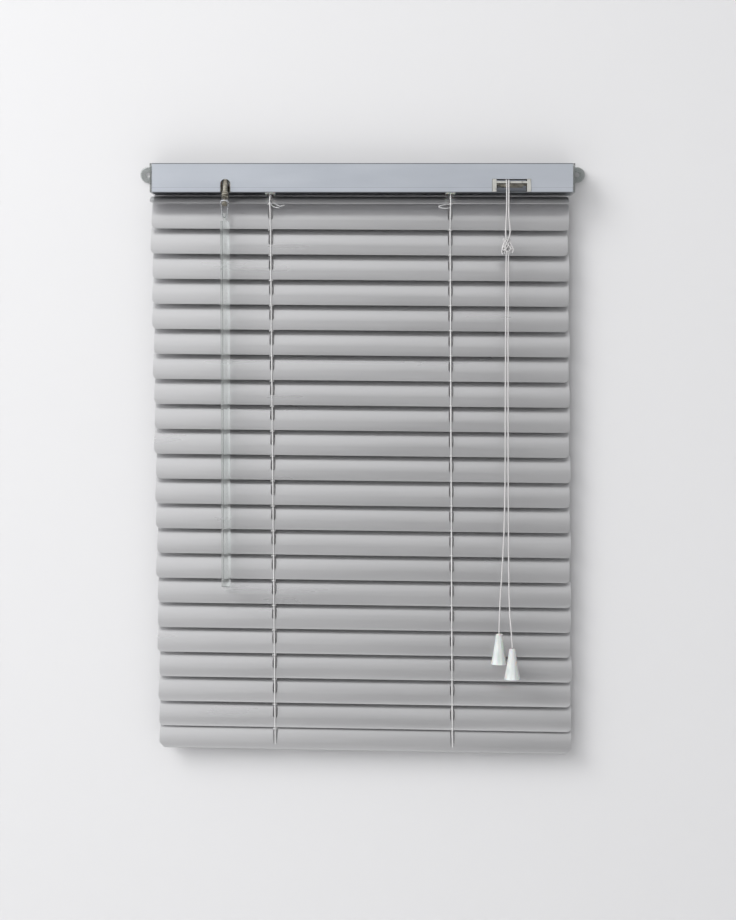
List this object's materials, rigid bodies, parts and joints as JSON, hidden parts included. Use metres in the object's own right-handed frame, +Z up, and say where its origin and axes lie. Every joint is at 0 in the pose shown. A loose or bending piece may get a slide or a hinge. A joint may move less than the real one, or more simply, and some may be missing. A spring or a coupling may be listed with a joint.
{
  "type": "venetian blind",
  "caption": "Horizontal aluminium mini blind with a head rail, slats on string ladders, a bottom rail, a tilt wand and two pull cords with tassels; the slats tilt and lift.",
  "frame": {"origin": "midway between the two wall screw holes, in the plane of the wall", "axes": "+X to the right along the rail as seen from the room, +Y into the wall, +Z up"},
  "size_m": [0.3822, 0.048, 0.5071],
  "materials": {
    "rail_paint": "satin",
    "slat_paint": "satin",
    "clear_plastic": "gloss",
    "milky_plastic": "satin",
    "white_nylon": "matte",
    "steel_wire": "satin",
    "white_thread": "matte"
  },
  "bodies": {
    "frame": {"head_rail": "rail_paint", "end_brackets": "clear_plastic", "tilter_housing": "clear_plastic", "drum_cradles": "white_nylon", "cord_lock_housing": "white_nylon"},
    "tilt_shaft": {"tilt_rod": "steel_wire", "ladder_drums": "white_nylon", "tilter_gear": "white_nylon"},
    "worm": {"tilter_worm": "clear_plastic"},
    "hook": {"wand_hook": "steel_wire"},
    "wand": {"tilt_wand": "clear_plastic"},
    "lock_roller": {"cord_lock_roller": "clear_plastic"},
    "lift_line": {"lift_cords": "white_thread"},
    "bottom_bar": {"bottom_rail": "slat_paint"},
    "pull_line": {"pull_cords": "white_thread", "tassels": "milky_plastic"},
    "front_strings": {"ladder_front": "white_thread"},
    "rear_strings": {"ladder_back": "white_thread"},
    "slat_00_body": {"slat_00": "slat_paint"},
    "slat_01_body": {"slat_01": "slat_paint"},
    "slat_02_body": {"slat_02": "slat_paint"},
    "slat_03_body": {"slat_03": "slat_paint"},
    "slat_04_body": {"slat_04": "slat_paint"},
    "slat_05_body": {"slat_05": "slat_paint"},
    "slat_06_body": {"slat_06": "slat_paint"},
    "slat_07_body": {"slat_07": "slat_paint"},
    "slat_08_body": {"slat_08": "slat_paint"},
    "slat_09_body": {"slat_09": "slat_paint"},
    "slat_10_body": {"slat_10": "slat_paint"},
    "slat_11_body": {"slat_11": "slat_paint"},
    "slat_12_body": {"slat_12": "slat_paint"},
    "slat_13_body": {"slat_13": "slat_paint"},
    "slat_14_body": {"slat_14": "slat_paint"},
    "slat_15_body": {"slat_15": "slat_paint"},
    "slat_16_body": {"slat_16": "slat_paint"},
    "slat_17_body": {"slat_17": "slat_paint"},
    "slat_18_body": {"slat_18": "slat_paint"},
    "slat_19_body": {"slat_19": "slat_paint"},
    "slat_20_body": {"slat_20": "slat_paint"},
    "slat_21_body": {"slat_21": "slat_paint"},
    "rung_02_body": {"ladder_rung_02": "white_thread"},
    "rung_03_body": {"ladder_rung_03": "white_thread"},
    "rung_04_body": {"ladder_rung_04": "white_thread"},
    "rung_05_body": {"ladder_rung_05": "white_thread"},
    "rung_06_body": {"ladder_rung_06": "white_thread"},
    "rung_07_body": {"ladder_rung_07": "white_thread"},
    "rung_08_body": {"ladder_rung_08": "white_thread"},
    "rung_09_body": {"ladder_rung_09": "white_thread"},
    "rung_10_body": {"ladder_rung_10": "white_thread"},
    "rung_11_body": {"ladder_rung_11": "white_thread"},
    "rung_12_body": {"ladder_rung_12": "white_thread"},
    "rung_13_body": {"ladder_rung_13": "white_thread"},
    "rung_14_body": {"ladder_rung_14": "white_thread"},
    "rung_15_body": {"ladder_rung_15": "white_thread"},
    "rung_16_body": {"ladder_rung_16": "white_thread"},
    "rung_17_body": {"ladder_rung_17": "white_thread"},
    "rung_18_body": {"ladder_rung_18": "white_thread"},
    "rung_19_body": {"ladder_rung_19": "white_thread"},
    "rung_20_body": {"ladder_rung_20": "white_thread"},
    "rung_21_body": {"ladder_rung_21": "white_thread"}
  },
  "joints": [
    {"name": "tilt", "type": "hinge", "parent": "frame", "child": "tilt_shaft", "pos_m": [0, -0.0147, -0.00525], "axis": [1, 0, 0], "range_deg": [-144, 0]},
    {"name": "lift", "type": "slide", "parent": "frame", "child": "lift_line", "axis": [0, 0, 1], "range_m": [0, 0.3345], "deforming": ["lift_cords"]},
    {"name": "slat_00_tilt", "type": "hinge", "parent": "frame", "child": "slat_00_body", "pos_m": [0, -0.0147, -0.0209], "axis": [1, 0, -0.0017], "range_deg": [-36, 0]},
    {"name": "slat_01_tilt", "type": "hinge", "parent": "frame", "child": "slat_01_body", "pos_m": [0, -0.0147, -0.0353], "axis": [1, 0, -0.0058], "range_deg": [-144, 0]},
    {"name": "slat_02_tilt", "type": "hinge", "parent": "rung_02_body", "child": "slat_02_body", "pos_m": [0, -0.0147, -0.05676], "axis": [1, 0, -0.0064], "range_deg": [-144, 0]},
    {"name": "slat_03_tilt", "type": "hinge", "parent": "rung_03_body", "child": "slat_03_body", "pos_m": [0, -0.0147, -0.07822], "axis": [1, 0, -0.007], "range_deg": [-144, 0]},
    {"name": "slat_04_tilt", "type": "hinge", "parent": "rung_04_body", "child": "slat_04_body", "pos_m": [0, -0.0147, -0.09968], "axis": [1, 0, -0.0076], "range_deg": [-144, 0]},
    {"name": "slat_05_tilt", "type": "hinge", "parent": "rung_05_body", "child": "slat_05_body", "pos_m": [0, -0.0147, -0.12114], "axis": [1, 0, -0.0081], "range_deg": [-144, 0]},
    {"name": "slat_06_tilt", "type": "hinge", "parent": "rung_06_body", "child": "slat_06_body", "pos_m": [0, -0.0147, -0.1426], "axis": [1, 0, -0.0087], "range_deg": [-144, 0]},
    {"name": "slat_07_tilt", "type": "hinge", "parent": "rung_07_body", "child": "slat_07_body", "pos_m": [0, -0.0147, -0.16406], "axis": [1, 0, -0.0093], "range_deg": [-144, 0]},
    {"name": "slat_08_tilt", "type": "hinge", "parent": "rung_08_body", "child": "slat_08_body", "pos_m": [0, -0.0147, -0.18552], "axis": [1, 0, -0.0099], "range_deg": [-144, 0]},
    {"name": "slat_09_tilt", "type": "hinge", "parent": "rung_09_body", "child": "slat_09_body", "pos_m": [0, -0.0147, -0.20698], "axis": [0.9999, 0, -0.0105], "range_deg": [-144, 0]},
    {"name": "slat_10_tilt", "type": "hinge", "parent": "rung_10_body", "child": "slat_10_body", "pos_m": [0, -0.0147, -0.22844], "axis": [0.9999, 0, -0.0111], "range_deg": [-144, 0]},
    {"name": "slat_11_tilt", "type": "hinge", "parent": "rung_11_body", "child": "slat_11_body", "pos_m": [0, -0.0147, -0.2499], "axis": [0.9999, 0, -0.0116], "range_deg": [-144, 0]},
    {"name": "slat_12_tilt", "type": "hinge", "parent": "rung_12_body", "child": "slat_12_body", "pos_m": [0, -0.0147, -0.27136], "axis": [0.9999, 0, -0.0122], "range_deg": [-144, 0]},
    {"name": "slat_13_tilt", "type": "hinge", "parent": "rung_13_body", "child": "slat_13_body", "pos_m": [0, -0.0147, -0.29282], "axis": [0.9999, 0, -0.0128], "range_deg": [-144, 0]},
    {"name": "slat_14_tilt", "type": "hinge", "parent": "rung_14_body", "child": "slat_14_body", "pos_m": [0, -0.0147, -0.31428], "axis": [0.9999, 0, -0.0134], "range_deg": [-144, 0]},
    {"name": "slat_15_tilt", "type": "hinge", "parent": "rung_15_body", "child": "slat_15_body", "pos_m": [0, -0.0147, -0.33574], "axis": [0.9999, 0, -0.014], "range_deg": [-144, 0]},
    {"name": "slat_16_tilt", "type": "hinge", "parent": "rung_16_body", "child": "slat_16_body", "pos_m": [0, -0.0147, -0.3572], "axis": [0.9999, 0, -0.0145], "range_deg": [-144, 0]},
    {"name": "slat_17_tilt", "type": "hinge", "parent": "rung_17_body", "child": "slat_17_body", "pos_m": [0, -0.0147, -0.37866], "axis": [0.9999, 0, -0.0151], "range_deg": [-144, 0]},
    {"name": "slat_18_tilt", "type": "hinge", "parent": "rung_18_body", "child": "slat_18_body", "pos_m": [0, -0.0147, -0.40012], "axis": [0.9999, 0, -0.0157], "range_deg": [-144, 0]},
    {"name": "slat_19_tilt", "type": "hinge", "parent": "rung_19_body", "child": "slat_19_body", "pos_m": [0, -0.0147, -0.42158], "axis": [0.9999, 0, -0.0163], "range_deg": [-144, 0]},
    {"name": "slat_20_tilt", "type": "hinge", "parent": "rung_20_body", "child": "slat_20_body", "pos_m": [0, -0.0147, -0.44304], "axis": [0.9999, 0, -0.0169], "range_deg": [-144, 0]},
    {"name": "slat_21_tilt", "type": "hinge", "parent": "rung_21_body", "child": "slat_21_body", "pos_m": [0, -0.0147, -0.4645], "axis": [0.9998, 0, -0.0175], "range_deg": [-144, 0]},
    {"name": "slat_02_lift", "type": "slide", "parent": "frame", "child": "rung_02_body", "axis": [0, 0, 1], "range_m": [0, 0.01646], "deforming": ["ladder_rung_02"]},
    {"name": "slat_03_lift", "type": "slide", "parent": "frame", "child": "rung_03_body", "axis": [0, 0, 1], "range_m": [0, 0.03292], "deforming": ["ladder_rung_03"]},
    {"name": "slat_04_lift", "type": "slide", "parent": "frame", "child": "rung_04_body", "axis": [0, 0, 1], "range_m": [0, 0.04938], "deforming": ["ladder_rung_04"]},
    {"name": "slat_05_lift", "type": "slide", "parent": "frame", "child": "rung_05_body", "axis": [0, 0, 1], "range_m": [0, 0.06584], "deforming": ["ladder_rung_05"]},
    {"name": "slat_06_lift", "type": "slide", "parent": "frame", "child": "rung_06_body", "axis": [0, 0, 1], "range_m": [0, 0.0823], "deforming": ["ladder_rung_06"]},
    {"name": "slat_07_lift", "type": "slide", "parent": "frame", "child": "rung_07_body", "axis": [0, 0, 1], "range_m": [0, 0.09876], "deforming": ["ladder_rung_07"]},
    {"name": "slat_08_lift", "type": "slide", "parent": "frame", "child": "rung_08_body", "axis": [0, 0, 1], "range_m": [0, 0.11522], "deforming": ["ladder_rung_08"]},
    {"name": "slat_09_lift", "type": "slide", "parent": "frame", "child": "rung_09_body", "axis": [0, 0, 1], "range_m": [0, 0.13168], "deforming": ["ladder_rung_09"]},
    {"name": "slat_10_lift", "type": "slide", "parent": "frame", "child": "rung_10_body", "axis": [0, 0, 1], "range_m": [0, 0.14814], "deforming": ["ladder_rung_10"]},
    {"name": "slat_11_lift", "type": "slide", "parent": "frame", "child": "rung_11_body", "axis": [0, 0, 1], "range_m": [0, 0.1646], "deforming": ["ladder_rung_11"]},
    {"name": "slat_12_lift", "type": "slide", "parent": "frame", "child": "rung_12_body", "axis": [0, 0, 1], "range_m": [0, 0.18106], "deforming": ["ladder_rung_12"]},
    {"name": "slat_13_lift", "type": "slide", "parent": "frame", "child": "rung_13_body", "axis": [0, 0, 1], "range_m": [0, 0.19752], "deforming": ["ladder_rung_13"]},
    {"name": "slat_14_lift", "type": "slide", "parent": "frame", "child": "rung_14_body", "axis": [0, 0, 1], "range_m": [0, 0.21398], "deforming": ["ladder_rung_14"]},
    {"name": "slat_15_lift", "type": "slide", "parent": "frame", "child": "rung_15_body", "axis": [0, 0, 1], "range_m": [0, 0.23044], "deforming": ["ladder_rung_15"]},
    {"name": "slat_16_lift", "type": "slide", "parent": "frame", "child": "rung_16_body", "axis": [0, 0, 1], "range_m": [0, 0.2469], "deforming": ["ladder_rung_16"]},
    {"name": "slat_17_lift", "type": "slide", "parent": "frame", "child": "rung_17_body", "axis": [0, 0, 1], "range_m": [0, 0.26336], "deforming": ["ladder_rung_17"]},
    {"name": "slat_18_lift", "type": "slide", "parent": "frame", "child": "rung_18_body", "axis": [0, 0, 1], "range_m": [0, 0.27982], "deforming": ["ladder_rung_18"]},
    {"name": "slat_19_lift", "type": "slide", "parent": "frame", "child": "rung_19_body", "axis": [0, 0, 1], "range_m": [0, 0.29628], "deforming": ["ladder_rung_19"]},
    {"name": "slat_20_lift", "type": "slide", "parent": "frame", "child": "rung_20_body", "axis": [0, 0, 1], "range_m": [0, 0.31274], "deforming": ["ladder_rung_20"]},
    {"name": "slat_21_lift", "type": "slide", "parent": "frame", "child": "rung_21_body", "axis": [0, 0, 1], "range_m": [0, 0.3292], "deforming": ["ladder_rung_21"]},
    {"name": "bottom_rail_tilt", "type": "hinge", "parent": "lift_line", "child": "bottom_bar", "pos_m": [0, -0.0147, -0.4848], "axis": [0.9998, 0, -0.0175], "range_deg": [-144, 0]},
    {"name": "worm_spin", "type": "hinge", "parent": "frame", "child": "worm", "pos_m": [-0.116, -0.03466, -0.02794], "axis": [0, -0.4226, -0.9063], "range_deg": [0, 1440]},
    {"name": "wand_turn", "type": "hinge", "parent": "frame", "child": "hook", "pos_m": [-0.116, -0.03466, -0.02794], "axis": [0, 0, -1], "range_deg": [0, 1440]},
    {"name": "wand_swing", "type": "hinge", "parent": "hook", "child": "wand", "pos_m": [-0.116, -0.03466, -0.03894], "axis": [1, 0, 0], "range_deg": [-80, 0]},
    {"name": "lock_release", "type": "slide", "parent": "frame", "child": "lock_roller", "axis": [0, 0.8192, -0.5736], "range_m": [0, 0.003]},
    {"name": "cord_pull", "type": "slide", "parent": "frame", "child": "pull_line", "axis": [0, 0, 1], "range_m": [-0.3345, 0], "deforming": ["pull_cords"]},
    {"name": "front_strings_hang", "type": "hinge", "parent": "slat_01_body", "child": "front_strings", "pos_m": [0, -0.01672, -0.048], "axis": [1, 0, 0], "range_deg": [0, 144], "deforming": ["ladder_front"]},
    {"name": "rear_strings_hang", "type": "hinge", "parent": "slat_01_body", "child": "rear_strings", "pos_m": [0, -0.00887, -0.02384], "axis": [1, 0, 0], "range_deg": [0, 144], "deforming": ["ladder_back"]}
  ],
  "couplings": [
    {"joint": "slat_00_tilt", "follows": "tilt", "ratio": 0.25},
    {"joint": "slat_01_tilt", "follows": "tilt", "ratio": 1},
    {"joint": "slat_02_tilt", "follows": "tilt", "ratio": 1},
    {"joint": "slat_03_tilt", "follows": "tilt", "ratio": 1},
    {"joint": "slat_04_tilt", "follows": "tilt", "ratio": 1},
    {"joint": "slat_05_tilt", "follows": "tilt", "ratio": 1},
    {"joint": "slat_06_tilt", "follows": "tilt", "ratio": 1},
    {"joint": "slat_07_tilt", "follows": "tilt", "ratio": 1},
    {"joint": "slat_08_tilt", "follows": "tilt", "ratio": 1},
    {"joint": "slat_09_tilt", "follows": "tilt", "ratio": 1},
    {"joint": "slat_10_tilt", "follows": "tilt", "ratio": 1},
    {"joint": "slat_11_tilt", "follows": "tilt", "ratio": 1},
    {"joint": "slat_12_tilt", "follows": "tilt", "ratio": 1},
    {"joint": "slat_13_tilt", "follows": "tilt", "ratio": 1},
    {"joint": "slat_14_tilt", "follows": "tilt", "ratio": 1},
    {"joint": "slat_15_tilt", "follows": "tilt", "ratio": 1},
    {"joint": "slat_16_tilt", "follows": "tilt", "ratio": 1},
    {"joint": "slat_17_tilt", "follows": "tilt", "ratio": 1},
    {"joint": "slat_18_tilt", "follows": "tilt", "ratio": 1},
    {"joint": "slat_19_tilt", "follows": "tilt", "ratio": 1},
    {"joint": "slat_20_tilt", "follows": "tilt", "ratio": 1},
    {"joint": "slat_21_tilt", "follows": "tilt", "ratio": 1},
    {"joint": "slat_02_lift", "follows": "lift", "ratio": 0.049208},
    {"joint": "slat_03_lift", "follows": "lift", "ratio": 0.098416},
    {"joint": "slat_04_lift", "follows": "lift", "ratio": 0.14762},
    {"joint": "slat_05_lift", "follows": "lift", "ratio": 0.19683},
    {"joint": "slat_06_lift", "follows": "lift", "ratio": 0.24604},
    {"joint": "slat_07_lift", "follows": "lift", "ratio": 0.29525},
    {"joint": "slat_08_lift", "follows": "lift", "ratio": 0.34445},
    {"joint": "slat_09_lift", "follows": "lift", "ratio": 0.39366},
    {"joint": "slat_10_lift", "follows": "lift", "ratio": 0.44287},
    {"joint": "slat_11_lift", "follows": "lift", "ratio": 0.49208},
    {"joint": "slat_12_lift", "follows": "lift", "ratio": 0.54129},
    {"joint": "slat_13_lift", "follows": "lift", "ratio": 0.59049},
    {"joint": "slat_14_lift", "follows": "lift", "ratio": 0.6397},
    {"joint": "slat_15_lift", "follows": "lift", "ratio": 0.68891},
    {"joint": "slat_16_lift", "follows": "lift", "ratio": 0.73812},
    {"joint": "slat_17_lift", "follows": "lift", "ratio": 0.78732},
    {"joint": "slat_18_lift", "follows": "lift", "ratio": 0.83653},
    {"joint": "slat_19_lift", "follows": "lift", "ratio": 0.88574},
    {"joint": "slat_20_lift", "follows": "lift", "ratio": 0.93495},
    {"joint": "slat_21_lift", "follows": "lift", "ratio": 0.98416},
    {"joint": "bottom_rail_tilt", "follows": "tilt", "ratio": 1},
    {"joint": "worm_spin", "follows": "tilt", "ratio": -10},
    {"joint": "wand_turn", "follows": "tilt", "ratio": -10},
    {"joint": "cord_pull", "follows": "lift", "ratio": -1},
    {"joint": "front_strings_hang", "follows": "tilt", "ratio": -1},
    {"joint": "rear_strings_hang", "follows": "tilt", "ratio": -1}
  ]
}
